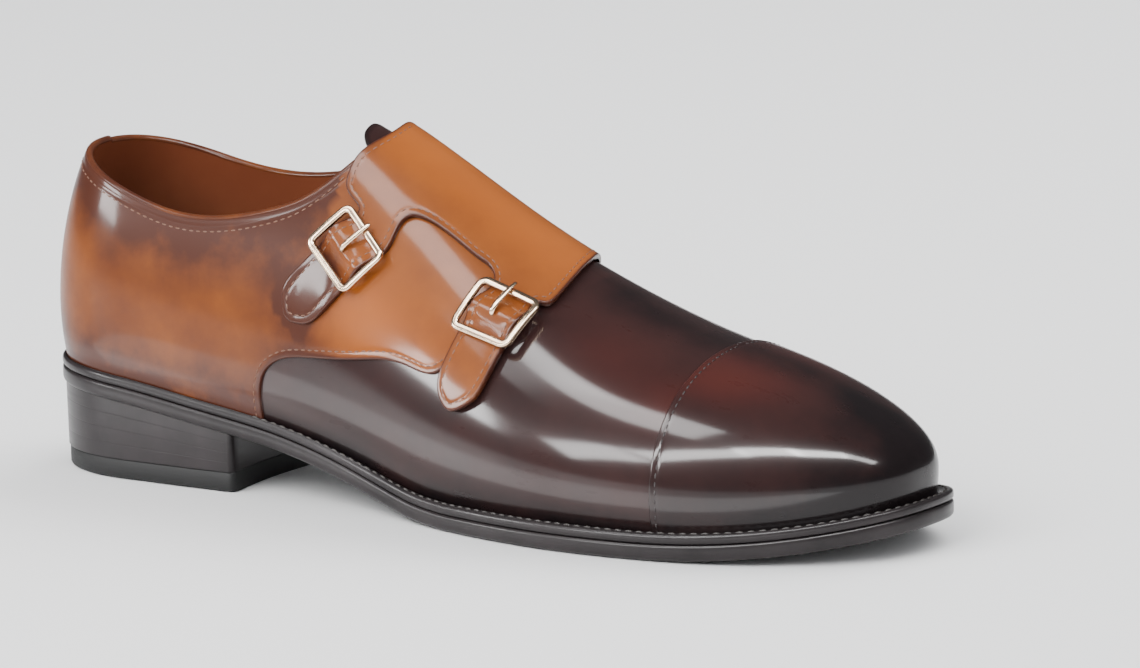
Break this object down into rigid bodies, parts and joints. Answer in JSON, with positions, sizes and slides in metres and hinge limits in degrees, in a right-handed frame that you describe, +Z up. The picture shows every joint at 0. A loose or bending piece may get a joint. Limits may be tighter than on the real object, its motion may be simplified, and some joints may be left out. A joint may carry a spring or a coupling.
{
  "type": "monk strap shoe",
  "caption": "Right cap-toe leather shoe with two buckled straps over the instep, a welted sole and a stacked heel.",
  "frame": {"origin": "on the floor, at the middle of the shoe's length and width", "axes": "+X from heel to toe, +Y towards the inner (arch) side, +Z up"},
  "size_m": [0.3028, 0.1016, 0.111],
  "materials": {
    "leather_dark": "polished, burnished dark red-brown",
    "leather_tan": "polished tan with a mottled patina",
    "sole_edge": "inked and waxed sole leather, near black",
    "rubber": "matte",
    "metal": "polished, pale gold",
    "insole_leather": "natural, unpolished"
  },
  "bodies": {
    "root": {"upper": "leather_dark", "outsole": "sole_edge", "welt": "sole_edge", "insole": "insole_leather", "heel_top_piece": "rubber", "heel_stack": "sole_edge", "tongue": "leather_dark", "strap_panel": "leather_tan", "buckle_frame_rear": "metal", "buckle_prong_rear": "metal", "buckle_frame_front": "metal", "buckle_prong_front": "metal"}
  },
  "joints": []
}
